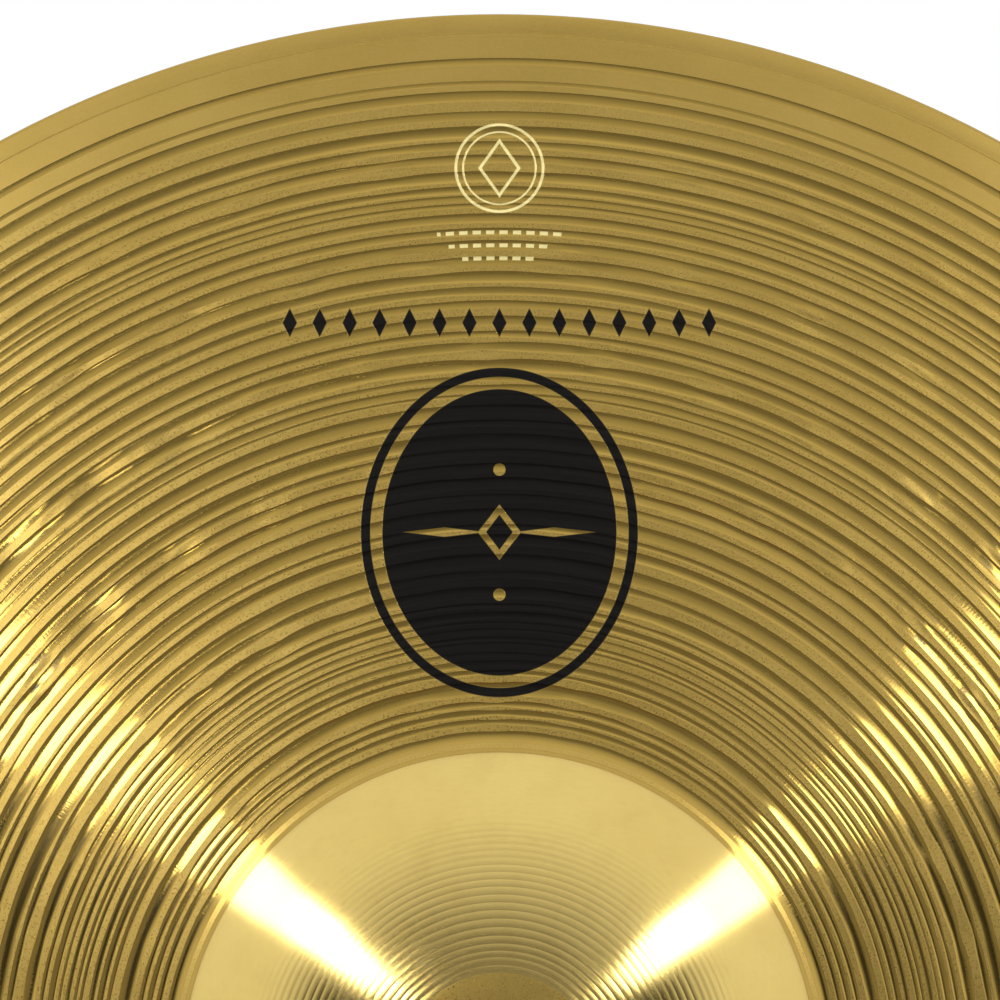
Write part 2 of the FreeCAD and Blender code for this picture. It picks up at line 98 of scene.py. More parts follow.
# Radii of the cuts on the bell
BELL_CUTS = [
    18.1, 19.4, 20.5, 21.7, 23.0, 24.4, 25.8, 27.2, 28.5, 29.8, 31.1, 32.3, 33.5, 34.7, 35.9,
    37.0, 38.1, 39.2, 40.2, 41.2, 42.3, 43.3, 44.3, 45.3, 46.4, 47.5, 48.7, 50.0, 51.3]
# Rows of hammer blows: radius, blows per turn, phase, deepest dent
HAMMER_ROWS = [
    (62.0, 31, 0.4, 0.05), (81.0, 39, 0.0, 0.10), (101.0, 39, 2.1, 0.24),
    (119.0, 39, 0.9, 0.26), (136.0, 39, 3.6, 0.26), (152.0, 39, 5.0, 0.22)]
# Radii of the plain rings on the hollow side, from the root of the bell inwards
HOLLOW_RADII = (59.5, 57.6, 56.0, 54.2, 52.5, 48.0, 42.0, 35.0, 27.0, 20.0, 16.9, 10.0)

# Code of each kind of band in the "surface" attribute: land, bell, rim
BAND_CODES = {
    "land": (1.0, 0.0, 0.0), "cut": (0.0, 0.0, 0.0), "bell": (0.0, 1.0, 0.0),
    "crown": (1.0, 1.0, 0.0), "rim": (1.0, 0.0, 1.0), "edge": (0.0, 0.0, 1.0),
    "under": (0.0, 1.0, 1.0)}


# ---------------------------------------------------------------------------
# Shader graphs
# ---------------------------------------------------------------------------
class Signal:
    """A node's output; arithmetic on it adds Math nodes."""

    def __init__(self, graph, socket):
        self.graph = graph
        self.socket = socket

    def __add__(self, other): return self.graph.math("ADD", self, other)
    def __radd__(self, other): return self.graph.math("ADD", other, self)
    def __sub__(self, other): return self.graph.math("SUBTRACT", self, other)
    def __rsub__(self, other): return self.graph.math("SUBTRACT", other, self)
    def __mul__(self, other): return self.graph.math("MULTIPLY", self, other)
    def __truediv__(self, other): return self.graph.math("DIVIDE", self, other)
    def __abs__(self): return self.graph.math("ABSOLUTE", self)


class Graph:
    """Writes the nodes of one node tree; values are numbers, tuples or Signals."""

    def __init__(self, tree):
        self.tree = tree

    def node(self, kind, **properties):
        node = self.tree.nodes.new(kind)
        for key, value in properties.items():
            setattr(node, key, value)
        return node

    def signal(self, node, output=0):
        return Signal(self, node.outputs[output])

    def feed(self, node, key, value):
        if isinstance(value, Signal):
            self.tree.links.new(value.socket, node.inputs[key])
        else:
            node.inputs[key].default_value = value

    def fed(self, kind, values, output=0, **properties):
        """New node with its inputs filled from the dict values; returns one output."""
        node = self.node(kind, **properties)
        for key, value in values.items():
            self.feed(node, key, value)
        return self.signal(node, output)

    def math(self, operation, *values):
        return self.fed("ShaderNodeMath", dict(enumerate(values)), operation=operation)

    def maximum(self, first, second):
        return self.math("MAXIMUM", first, second)

    def vector(self, operation, *vectors, **named):
        values = dict(enumerate(vectors)) | named
        return self.fed("ShaderNodeVectorMath", values, "Vector", operation=operation)

    def combine(self, *parts):
        return self.fed("ShaderNodeCombineXYZ", dict(enumerate(parts)))

    def split(self, vector):
        node = self.node("ShaderNodeSeparateXYZ")
        self.feed(node, 0, vector)
        return [self.signal(node, axis) for axis in range(3)]

    def ramp(self, value, span, to=(0.0, 1.0), kind="SMOOTHSTEP"):
        """Clamped map of value from span to the range to."""
        return self.fed("ShaderNodeMapRange", dict(enumerate((value, *span, *to))),
                        interpolation_type=kind, clamp=True)

    def mix(self, factor, first, second, strength=None, blend="MIX"):
        if strength is not None:
            factor = factor * strength
        return self.fed("ShaderNodeMix", {0: factor, 6: first, 7: second}, 2,
                        data_type="RGBA", blend_type=blend)

    def tint(self, colour, by):
        return self.mix(1.0, colour, by, blend="MULTIPLY")

    def mix_value(self, factor, low, high, strength=None):
        if strength is not None:
            factor = factor * strength
        return self.fed("ShaderNodeMix", {0: factor, 2: low, 3: high}, data_type="FLOAT")

    def noise(self, vector, scale=1.0, detail=2.0, rough=0.5, output=0):
        values = {"Vector": vector, "Scale": scale, "Detail": detail, "Roughness": rough}
        return self.fed("ShaderNodeTexNoise", values, output, noise_dimensions="3D")

    def attribute(self, name, output="Vector"):
        node = self.node("ShaderNodeAttribute", attribute_name=name, attribute_type="GEOMETRY")
        return self.signal(node, output)

    def bump(self, shader, height):
        """Relief from a height in mm."""
        values = {"Strength": 1.0, "Distance": MM, "Height": height}
        self.feed(shader, "Normal", self.fed("ShaderNodeBump", values))


def new_material(name):
    material = bpy.data.materials.new(name)
    material.use_nodes = True
    material.node_tree.nodes.clear()
    nodes = Graph(material.node_tree)
    output = nodes.node("ShaderNodeOutputMaterial")
    shader = nodes.node("ShaderNodeBsdfPrincipled")
    nodes.feed(output, 0, nodes.signal(shader))
    return material, nodes, shader


def rgb(red, green, blue):
    return (red, green, blue, 1.0)


def srgb(*levels):
    """Linear colour from 0 to 255 display levels."""
    def linear(level):
        part = level / 255.0
        return part / 12.92 if part <= 0.04045 else ((part + 0.055) / 1.055) ** 2.4
    return rgb(*map(linear, levels))


# ---------------------------------------------------------------------------
# Shared geometry
# ---------------------------------------------------------------------------
def to_row(points, side):
    """Cymbal frame in mm to the row frame in metres."""
    x, y, z = points[..., 0], points[..., 1], points[..., 2]
    placed = np.stack([x, RIM_Y * 1000.0 - z, y], axis=-1) * MM
    return placed if side == "a" else placed * np.array([-1.0, -1.0, 1.0])


def grid_faces(rows, columns, closed=True):
    """Quads over a grid whose columns wrap round, and whose rows do too if closed."""
    i, j = np.meshgrid(np.arange(rows if closed else rows - 1), np.arange(columns), indexing="ij")
    following, beside = (i + 1) % rows, (j + 1) % columns
    quads = [i * columns + j, i * columns + beside, following * columns + beside,
             following * columns + j]
    return np.stack(quads, axis=-1).reshape(-1, 4)


def harmonics(rng, angle, counts, power):
    """Sum of random waves round a turn; higher counts fade by the power."""
    return sum(rng.uniform(-1, 1) * np.cos(count * angle + rng.uniform(0, PHASE_SPAN))
               / count ** power for count in counts)


# ---------------------------------------------------------------------------
# The plate: one closed mesh, every lathe cut is geometry
# ---------------------------------------------------------------------------
# radius and height per theta, kind of the band that follows, whether the ring is a sharp edge
Ring = namedtuple("Ring", "radius height band sharp")


def ring(radius, height, band, sharp=False):
    return Ring(radius * FULL_RING, height * FULL_RING, band, sharp)


def face_height(radius, inset=0.0):
    """Height above the rim plane of the outer face, or of the face inset under it."""
    radius = np.asarray(radius, float)
    bell_edge = BELL_X + (BELL_R - inset) * (BELL_END - BELL_X) / BELL_R
    bow_edge = BOW_X + (BOW_R - inset) * (BOW_START - BOW_X) / BOW_R

    def rise(arc_radius, centre):
        return np.sqrt(np.maximum(arc_radius ** 2 - (radius - centre) ** 2, 0))

    height = np.full(radius.shape, HEIGHT - inset)
    height = np.where(radius > BELL_X, BELL_Z + rise(BELL_R - inset, BELL_X), height)
    height = np.where(radius > bell_edge, ROOT_Z - rise(ROOT_R + inset, ROOT_X), height)
    return np.where(radius > bow_edge, BOW_Z + rise(BOW_R - inset, BOW_X), height)


def hammering(radius, seed):
    """Unevenness left by the hammer, about -1 to 1, at one radius for every theta."""
    total = np.zeros(SEGMENTS)
    for index, (row, count, phase, _) in enumerate(HAMMER_ROWS):
        near = math.exp(-((radius - row) / 5.2) ** 2)
        if near < 0.02:
            continue
        blow = (0.5 + 0.5 * np.cos(count * THETA + phase + seed)) ** 2.4
        drift = (0.75 + 0.25 * np.cos(3 * THETA + 1.7 * index + seed)
                 + 0.2 * np.cos(7 * THETA - 2.3 * index))
        total += near * (blow * 1.5 - 0.55) * drift
    return total


def dents(radius, seed):
    """Depth of the hammer's dents at radius(theta); each blow fell a little differently."""
    total = np.zeros(SEGMENTS)
    for index, (row, count, phase, deepest) in enumerate(HAMMER_ROWS):
        rng = np.random.RandomState(int(seed * 10) + 40 + index)
        size = rng.uniform(0.25, 1.0, count)
        shift = rng.uniform(-1.6, 1.6, count)
        slip = rng.uniform(-0.9, 0.9, count)
        for blow in range(count):
            at = (2 * np.pi * blow + phase + seed + slip[blow]) / count
            arc = (np.mod(THETA - at + np.pi, 2 * np.pi) - np.pi) * row
            spread = ((radius - row - shift[blow]) / 2.0) ** 2 + (arc / 4.6) ** 2
            total += deepest * size[blow] * np.exp(-spread) * (spread < 9)
    return total


def crown_rings():
    rings = [ring(HOLE_R, HEIGHT - 0.35, "edge"), ring(HOLE_EDGE_R, HEIGHT, "crown", True)]
    rings += [ring(radius, HEIGHT - drop, "crown")
              for radius, drop in ((9.5, 0.0), (13.0, 0.0), (16.4, 0.012))]
    return rings + [ring(16.85, HEIGHT - 0.05, "bell", True)]


def bell_rings():
    """Even cuts that fade towards the bell's edge."""
    # Across one cut: place as a share of the pitch, share of the depth
    profile = ((-0.50, 0.0), (-0.20, 0.10), (0.0, 1.0), (0.22, 0.12))
    rings = []
    last = 16.9
    for i, cut in enumerate(BELL_CUTS):
        pitch = cut - last
        deep = 0.040 * max(0.0, 1.0 - ((cut - BELL_X) / 34.0) ** 1.3) + 0.008
        wobble = 0.03 * np.cos(5 * THETA + i) * (0.4 + 0.6 * (cut < 30))
        for place, share in profile if i else profile[1:]:
            radius = cut + place * pitch
            rings.append(ring(radius + wobble * 0.5, face_height(radius) - deep * share,
                              "bell", place == 0.0 and deep > 0.03))
        last = cut
    return rings + [ring(52.6, face_height(52.6), "bell")]


def cut_floor(middle):
    """Depth of a cut 1 mm wide, before its random share, by the radius of its land."""
    for limit, floor in ((62, 0.10), (112, 0.13), (160, 0.095)):
        if middle < limit:
            return floor
    return 0.06


def bow_rings(seed):
    """Lands with round-nosed cuts between them."""
    rng = np.random.RandomState(int(seed * 10) + 7)
    rings = []

    def add(radius, band, sharp, sunk=0.0):
        height = face_height(radius) - sunk - dents(radius, seed)
        rings.append(ring(radius, height, band, sharp))

    last_edge = 53.0 * FULL_RING
    for inner, outer in LANDS:
        middle = 0.5 * (inner + outer)
        wide = outer - inner
        if middle < CALM_FROM:              # the flat skin is narrower than its crest
            inner += 0.09 * wide
            outer -= 0.09 * wide
        calm = 1.0 if middle < CALM_FROM else 0.35
        slow = harmonics(rng, THETA, (2, 3, 5, 8, 13), 0.6)
        grow = (calm * (0.20 * hammering(middle, seed) + 0.040 * slow)
                * min(1.0, 0.45 + wide * 0.45))
        lean = calm * 0.022 * harmonics(rng, THETA, (3, 6, 11), 0)
        keep = 0.12 * wide
        inner_edge = np.minimum(inner - grow + lean, middle + lean - keep)
        outer_edge = np.maximum(outer + grow + lean, middle + lean + keep)
        inner_edge = np.maximum(inner_edge, last_edge + 0.22)
        outer_edge = np.maximum(outer_edge, inner_edge + 0.08)
        # The cut before this land
        gap = inner_edge - last_edge
        depth = np.minimum(cut_floor(middle) * gap ** 0.9, 0.24) * (0.60 + 0.60 * rng.rand())
        tilt = rng.uniform(-0.60, 0.60)
        fine = middle < 116 or np.mean(gap) > 1.3
        for place in (-0.80, -0.42, 0.03, 0.46, 0.82) if fine else (-0.66, 0.02, 0.68):
            add(last_edge + gap * (0.5 + 0.5 * place), "cut", False,
                sunk=depth * (1 - abs(place) ** 3.1) * (1 + tilt * place))
        add(inner_edge, "land" if middle < RIM_BAND_FROM else "rim", True)
        add(outer_edge, "cut", True)
        last_edge = outer_edge
    return rings


def rim_rings():
    """Fine line, plain band and rolled edge."""
    return [
        ring(174.55, face_height(174.55) - 0.05, "rim"),
        ring(174.9, face_height(174.9), "rim"),
        ring(177.35, face_height(177.35), "edge"),
        ring(177.7, face_height(177.7) - 0.10, "edge"),
        ring(RADIUS, 0.50, "edge"),
        ring(RADIUS, 0.12, "edge"),
        ring(177.72, 0.0, "edge"),
        ring(176.8, 0.0, "under", True)]


def hollow_rings():
    """Hollow side, turned more coarsely, from the rim back to the hole."""
    rings = []
    radius = 174.5
    count = 0
    while radius > 62.0:
        pitch = 2.5 + 0.5 * math.sin(1.3 * count)
        ridge = radius - 0.5 * pitch
        rings.append(ring(radius, face_height(radius, GAUGE), "under"))
        rings.append(ring(ridge, face_height(ridge, GAUGE) + 0.11, "under", True))
        radius -= pitch
        count += 1
    rings += [ring(radius, face_height(radius, GAUGE), "under") for radius in HOLLOW_RADII]
    rings.append(ring(HOLE_EDGE_R, HEIGHT - GAUGE, "edge", True))
    rings.append(ring(HOLE_R, HEIGHT - GAUGE + 0.3, "edge"))
    return rings


def build_plate(side, seed):
    rings = crown_rings() + bell_rings() + bow_rings(seed) + rim_rings() + hollow_rings()
    count = len(rings)
    radii = np.array([each.radius for each in rings])
    heights = np.array([each.height for each in rings])
    points = np.stack([radii * np.sin(THETA), radii * np.cos(THETA), heights], axis=-1)
    points = to_row(points.reshape(-1, 3), side)
    faces = grid_faces(count, SEGMENTS)[:, [0, 3, 2, 1]]

    mesh = bpy.data.meshes.new("cymbal_" + side)
    mesh.vertices.add(len(points))
    mesh.vertices.foreach_set("co", points.ravel().astype(np.float32))
    mesh.loops.add(faces.size)
    mesh.loops.foreach_set("vertex_index", faces.ravel().astype(np.int32))
    mesh.polygons.add(len(faces))
    mesh.polygons.foreach_set("loop_start", (np.arange(len(faces)) * 4).astype(np.int32))
    mesh.update(calc_edges=True)
    mesh.validate()
    mesh.polygons.foreach_set("use_smooth", np.ones(len(faces), bool))

    # Sharp rings: edges that stay on one ring
    sharp = np.array([each.sharp for each in rings])
    ends = np.empty(len(mesh.edges) * 2, np.int32)
    mesh.edges.foreach_get("vertices", ends)
    ring_of = ends.reshape(-1, 2) // SEGMENTS
    attribute = mesh.attributes.new("sharp_edge", "BOOLEAN", "EDGE")
    attribute.data.foreach_set("value", (ring_of[:, 0] == ring_of[:, 1]) & sharp[ring_of[:, 0]])

    # Kind of each band
    bands = [each.band for each in rings]
    codes = np.array([(*BAND_CODES[band], 1.0) for band in bands])
    attribute = mesh.attributes.new("surface", "FLOAT_COLOR", "CORNER")
    attribute.data.foreach_set(
        "color", np.repeat(codes, SEGMENTS * 4, axis=0).ravel().astype(np.float32))

    # 1 on the outer face, 0 on the hollow side
    outer = np.arange(count) < bands.index("under")
    attribute = mesh.attributes.new("outer", "FLOAT", "FACE")
    attribute.data.foreach_set("value", np.repeat(outer, SEGMENTS).astype(np.float32))
    plate = bpy.data.objects.new("cymbal_" + side, mesh)
    bpy.context.scene.collection.objects.link(plate)
    return plate


# ---------------------------------------------------------------------------
# Brass
# ---------------------------------------------------------------------------
def marks(nodes, x, z, radius, angle, outer):
    """Printed and etched marks above the bell, as masks (ink, etch) from 0 to 1.

    Ink: an oval badge with an outline, and a row of lozenges over it.
    Etch: two rings with a lozenge near the rim, and three dashed arcs below them.
    """
    soft = 0.07                 # half width of a mark's soft edge, mm
    badge_z = 90.0
    row_z, row_pitch, row_half_count = 125.3, 5.05, 7.0
    etch_z = 151.5

    def inside(distance):
        """1 where the signed distance in mm is negative."""
        return nodes.ramp(distance, span=(-soft, soft), to=(1.0, 0.0), kind="LINEAR")

    def oval(at_x, at_z, half_x, half_z):
        across = (x - at_x) / half_x
        up = (z - at_z) / half_z
        reach = nodes.math("SQRT", across * across + up * up)
        return inside((reach - 1.0) * (half_x * half_z) ** 0.5)

    def lozenge(at_x, at_z, half_x, half_z):
        across = abs((x - at_x) / half_x)
        up = abs((z - at_z) / half_z)
        return inside((across + up - 1.0) * (0.7 * min(half_x, half_z)))

    def outline(shape, at_z, outer_half, inner_half):
        return shape(0.0, at_z, *outer_half) - shape(0.0, at_z, *inner_half)

    # Badge: outline, then a field that leaves its ornament in brass
    frame = outline(oval, badge_z, (23.3, 27.7), (21.7, 26.1))
    field = oval(0.0, badge_z, half_x=19.7, half_z=24.1)
    bars = nodes.maximum(*[lozenge(at_x, badge_z, half_x=6.4, half_z=0.75)
                           for at_x in (-9.2, 9.2)])
    gem = outline(lozenge, badge_z, (3.6, 4.6), (2.3, 3.0))
    dots = nodes.maximum(*[oval(0.0, badge_z + lift, half_x=1.0, half_z=1.0)
                           for lift in (10.5, -10.5)])
    cutout = nodes.maximum(nodes.maximum(bars, gem), dots)
    ink = frame + field * (1.0 - cutout)

    # Row of lozenges, repeated across x
    cell = nodes.math("ROUND", x / row_pitch)
    in_row = nodes.math("LESS_THAN", abs(cell), row_half_count + 0.5)
    across = abs((x - cell * row_pitch) / 1.25)
    up = abs((z - row_z) / 2.5)
    ink = ink + inside((across + up - 1.0) * 0.9) * in_row

    # Etched mark
    rings = nodes.maximum(outline(oval, etch_z, (7.6, 7.6), (7.15, 7.15)),
                          outline(oval, etch_z, (6.3, 6.3), (6.0, 6.0)))
    etch = nodes.maximum(rings, outline(lozenge, etch_z, (3.6, 5.0), (3.0, 4.2)))
    for arc_radius, half_angle in ((140.6, 0.075), (138.4, 0.062), (136.2, 0.046)):
        arc = inside(abs(radius - arc_radius) - 0.32)
        span = nodes.math("LESS_THAN", abs(angle), half_angle)
        dash = nodes.math("LESS_THAN", nodes.math("FRACT", angle * 62.0), 0.62)
        etch = nodes.maximum(etch, arc * (span * dash))

    shown = outer * nodes.math("GREATER_THAN", z, 20.0)
    return nodes.math("MINIMUM", ink, 1.0) * shown, etch * shown


def brass_material(name, sign):
    """Lacquered, lathe-turned brass; sign is the cymbal's direction along x."""
    material, nodes, shader = new_material(name)
    ramp, mix, mix_value, noise = nodes.ramp, nodes.mix, nodes.mix_value, nodes.noise
    coordinates = nodes.signal(nodes.node("ShaderNodeTexCoord"), "Object")
    place = nodes.vector("SCALE", coordinates, Scale=1000.0)        # mm
    object_x, _, z = nodes.split(place)
    x = object_x * sign
    radius = nodes.math("SQRT", x * x + z * z)
    angle = nodes.math("ARCTAN2", x, z)

    def polar(radial, turning, layer):
        """Noise space stretched round the axis."""
        return nodes.combine(radius * radial, angle * turning, layer)

    # Which kind of band this is
    land, bell, rim = nodes.split(nodes.attribute("surface"))
    outer = nodes.attribute("outer", "Fac")
    crown_removal = 1.0         # how far the crown is kept out of the lands
    is_land = land * (1.0 - bell * crown_removal)
    is_rim = land * rim
    is_bell = (1.0 - land) * (bell * (1.0 - rim))
    satin = nodes.maximum(land, 0.0)

    # Direction out from the axis: the turned grain spreads light that way
    outward = nodes.vector("NORMALIZE", nodes.combine(object_x, 0.0, z))
    tangent = nodes.fed("ShaderNodeVectorTransform", {0: outward}, vector_type="VECTOR",
                        convert_from="OBJECT", convert_to="WORLD")

    # Turned lines, then chatter ticks across the cuts
    lines = noise(nodes.combine(radius, angle * 1.3, 0.0), scale=3.6, detail=3.0, rough=0.62)
    fine = noise(nodes.combine(radius, angle * 2.0, 3.0), scale=11.0, detail=2.0, rough=0.6)
    tick = noise(polar(radial=0.55, turning=210.0, layer=5.0), detail=1.0)
    tick_areas = noise(polar(radial=0.9, turning=3.0, layer=9.0), detail=1.0)
    ticked = ramp(tick_areas, span=(0.48, 0.62))
    # Where the hammer fell, the tool rode over small ridges
    blows = 0.0
    for row, count, phase, _ in HAMMER_ROWS[2:]:
        near = ramp(abs(radius - (row + 0.6)), span=(1.2, 5.2), to=(1.0, 0.0))
        wave = nodes.math("COSINE", angle * float(count) + phase)
        blows = nodes.maximum(blows, near * ramp(wave, span=(-0.2, 0.85)))
    ridge = noise(polar(radial=0.8, turning=19.0, layer=14.0), detail=0.0, rough=0.4)
    ridges = blows * (0.5 - ridge)
    # Matte speckle of the uncut skin, and broad clouding
    speck = noise(place, scale=2.6, detail=3.0, rough=0.7)
    fine_speck = noise(place, scale=7.0, detail=2.0, rough=0.6)
    cloud = noise(place, scale=0.035, detail=3.0, rough=0.55)
    streaks = noise(polar(radial=0.16, turning=7.0, layer=1.0), detail=2.0)

    # Colour
    turned = mix(ramp(cloud, span=(0.35, 0.7)), rgb(0.86, 0.635, 0.180), rgb(0.90, 0.680, 0.205))
    skin = mix(ramp(cloud, span=(0.35, 0.7)), rgb(0.56, 0.382, 0.092), rgb(0.61, 0.424, 0.110))
    # The bow's turned cuts and the edges take a darker, more saturated copy of the bell's brass:
    # painted shade
    turned = mix(1.0 - bell, turned, rgb(0.55, 0.368, 0.060))
    base = mix(satin, turned, skin)
    base = mix(ramp(streaks, span=(0.45, 0.75)), base,
               nodes.tint(base, by=rgb(0.84, 0.80, 0.70)), strength=0.22)
    base = mix(is_land * ramp(speck, span=(0.35, 0.75), to=(0.0, 0.22)), base,
               rgb(0.72, 0.54, 0.20))
    base = mix((1.0 - satin) * ramp(fine, span=(0.5, 0.8), to=(0.0, 0.35)), base,
               nodes.tint(base, by=rgb(0.72, 0.68, 0.60)))
    ink, etch = marks(nodes, x, z, radius, angle, outer)
    ink_colour = mix(ramp(lines, span=(0.3, 0.7)),
                     rgb(0.0025, 0.0023, 0.0021), rgb(0.0055, 0.0048, 0.0040))
    base = mix(etch, base, rgb(1.0, 0.88, 0.40))
    nodes.feed(shader, "Base Color", mix(ink, base, ink_colour))
    etch_dulling = 0.55         # metal lost where the mark is etched
    nodes.feed(shader, "Metallic", 1.0 - (ink + etch * etch_dulling))

    # Roughness: the smoothest value of each surface, plus what its texture adds
    cut_rough = 0.10 + ramp(lines, span=(0.3, 0.7)) * 0.05
    land_rough = 0.265 + ramp(speck, span=(0.3, 0.7)) * 0.05
    bell_rough = 0.12 + ramp(lines, span=(0.3, 0.7)) * 0.04
    rim_rough = 0.28 + speck * 0.08
    ink_rough = ramp(speck, span=(0.3, 0.7), to=(0.30, 0.44))
    rough = mix_value(is_bell, cut_rough, bell_rough)
    rough = mix_value(satin, rough, land_rough)
    rough = mix_value(is_rim, rough, rim_rough, strength=1.0)
    rough = mix_value(etch, rough, high=0.5)
    nodes.feed(shader, "Roughness", mix_value(ink, rough, ink_rough))
    nodes.feed(shader, "IOR", 1.5)
    nodes.feed(shader, "Specular IOR Level", mix_value(ink, low=0.5, high=0.13))
    nodes.feed(shader, "Anisotropic", mix_value(satin, low=0.85, high=0.20) * (1.0 - ink))
    nodes.feed(shader, "Tangent", tangent)
    # Clear lacquer over the turned metal
    lacquer = 0.8
    nodes.feed(shader, "Coat Weight", (1.0 - satin) * (1.0 - ink) * lacquer)
    nodes.feed(shader, "Coat Roughness", 0.12)

    # Relief, mm
    tick_mm, ridge_mm, speck_mm, fine_speck_mm, ink_mm, etch_mm = (
        0.0055, 0.17, 0.0015, 0.0007, 0.012, 0.02)
    tick_floor = 0.15           # ticks left outside the ticked areas
    height = (lines - 0.5) * mix_value(satin, low=0.011, high=0.004)
    height = height + (fine - 0.5) * mix_value(satin, low=0.0035, high=0.001)
    height = height + ((tick - 0.5) * (1.0 - satin)
                       * ((1.0 - bell) * (ticked + tick_floor) * tick_mm))
    height = height - ridges * (1.0 - bell) * ridge_mm
    height = height + (speck - 0.5) * satin * speck_mm
    height = height + (fine_speck - 0.5) * satin * fine_speck_mm
    height = height + ink * ink_mm
    height = height - etch * etch_mm
    nodes.bump(shader, height)
    return material


for side, sign, seed in (("a", 1.0, 0.0), ("b", -1.0, 2.6)):
    plate = build_plate(side, seed)
    plate.data.materials.append(brass_material("brass_" + side, sign))
    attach(plate, "cymbal_" + side)
    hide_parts("cymbal_plate_" + side)


# ---------------------------------------------------------------------------
# Leather: strips swept along a path, every edge, crease and ripple in the mesh
# ---------------------------------------------------------------------------
# Relief and wear are functions of (along, offset, face, half): distance along the strip,
# distance from its middle line, face (1 grain, -1 flesh, 0 cut edge) and half its width.

def soft_noise(along, across=0.0, seed=0):
    """Smooth unevenness, about -1 to 1, with a wavelength near 6 in the units given."""
    waves = 8
    rng = np.random.RandomState(seed)
    total = 0.0
    for _ in range(waves):
        heading, rate = rng.uniform(0, math.pi), rng.uniform(0.55, 1.7)
        total = total + np.sin(rate * (np.cos(heading) * along + np.sin(heading) * across)
                               + rng.uniform(0, PHASE_SPAN))
    return total / (0.62 * waves)


def hump(x, centre, width):
    return np.exp(-((x - centre) / width) ** 2)


def smooth_step(x, start, end):
    t = np.clip((x - start) / (end - start), 0, 1)
    return t * t * (3 - 2 * t)


def resample(points, step, whole):
    """Points at even steps along a polyline, and their distances along it."""
    lengths = np.linalg.norm(np.diff(points, axis=0), axis=1)
    distance = np.concatenate([[0], np.cumsum(lengths)])
    even = np.linspace(0, distance[-1], int(whole(distance[-1] / step)) + 1)
    return np.stack([np.interp(even, distance, column) for column in points.T], axis=1), even


def even_path(points, step, rounding, softness):
    """Even steps along a polyline with its corners averaged round and its ends kept.
    softness(path) gives 0 to 1 per point: how strongly a corner there is rounded."""
    fine_step = 0.25
    path, _ = resample(points, fine_step, int)
    amount = softness(path)[1:-1, None]
    for _ in range(int(rounding ** 2 / (0.5 * fine_step * fine_step))):
        average = 0.25 * path[:-2] + 0.5 * path[1:-1] + 0.25 * path[2:]
        path[1:-1] += amount * (average - path[1:-1])
    return resample(path, step, round)


def section(edges, centre_count, margin, corner_r):
    """Outline of a strip, as rows (width share, inset, thickness share, lift, face):
    across = share * width / 2 + inset, out = share * thickness / 2 + lift."""
    angles = (60, 30, 0)
    line = [(-1, edge) for edge in edges]
    line += [(share, -margin * share) for share in np.linspace(-1, 1, centre_count)]
    line += [(1, -edge) for edge in edges[::-1]]

    def flat(out, points):
        return [(share, inset, out, 0.0, out) for share, inset in points]

    def corner(across, out, angles):
        return [(across, across * corner_r * (math.cos(math.radians(angle)) - 1),
                 out, out * corner_r * (math.sin(math.radians(angle)) - 1),
                 out * (angle > 40)) for angle in angles]

    def cut_edge(across, out):
        """From the face on the side out, round the edge, to the other face."""
        return (corner(across, out, angles) + [(across, 0.0, 0, 0.0, 0)]
                + corner(across, -out, angles[::-1]))

    return np.array(flat(1, line) + cut_edge(1, 1) + flat(-1, line[::-1]) + cut_edge(-1, -1),
                    float)


def leather_object(name, points, faces, caps, skin, wear_and_shade, material):
    """Object from row-frame points; caps are flat end faces."""
    faces = faces.tolist() + caps
    mesh = bpy.data.meshes.new(name)
    mesh.from_pydata([tuple(point) for point in points], [], faces)
    mesh.update()
    # Turn the faces outwards if the signed volume is negative
    tri = np.array([(face[0], face[i], face[i + 1])
                    for face in faces for i in range(1, len(face) - 1)])
    first, second, third = (points[tri[:, k]] for k in range(3))
    if np.einsum("ij,ij->i", first, np.cross(second, third)).sum() < 0:
        mesh.flip_normals()
    smooth = np.ones(len(mesh.polygons), bool)
    smooth[len(faces) - len(caps):] = False
    mesh.polygons.foreach_set("use_smooth", smooth)
    attribute = mesh.attributes.new("skin", "FLOAT_VECTOR", "POINT")
    attribute.data.foreach_set("vector", np.asarray(skin, np.float32).ravel())
    attribute = mesh.attributes.new("wear_and_shade", "FLOAT_COLOR", "POINT")
    colour = np.concatenate([wear_and_shade, np.ones((len(wear_and_shade), 1))], axis=1)
    attribute.data.foreach_set("color", colour.astype(np.float32).ravel())
    mesh.validate()
    mesh.materials.append(material)
    leather = bpy.data.objects.new(name, mesh)
    bpy.context.scene.collection.objects.link(leather)
    return leather


def rolled(across, normal, angle):
    """The two directions of a strip, rolled about its own line."""
    cos, sin = np.cos(angle)[:, None], np.sin(angle)[:, None]
    return cos * across + sin * normal, cos * normal - sin * across


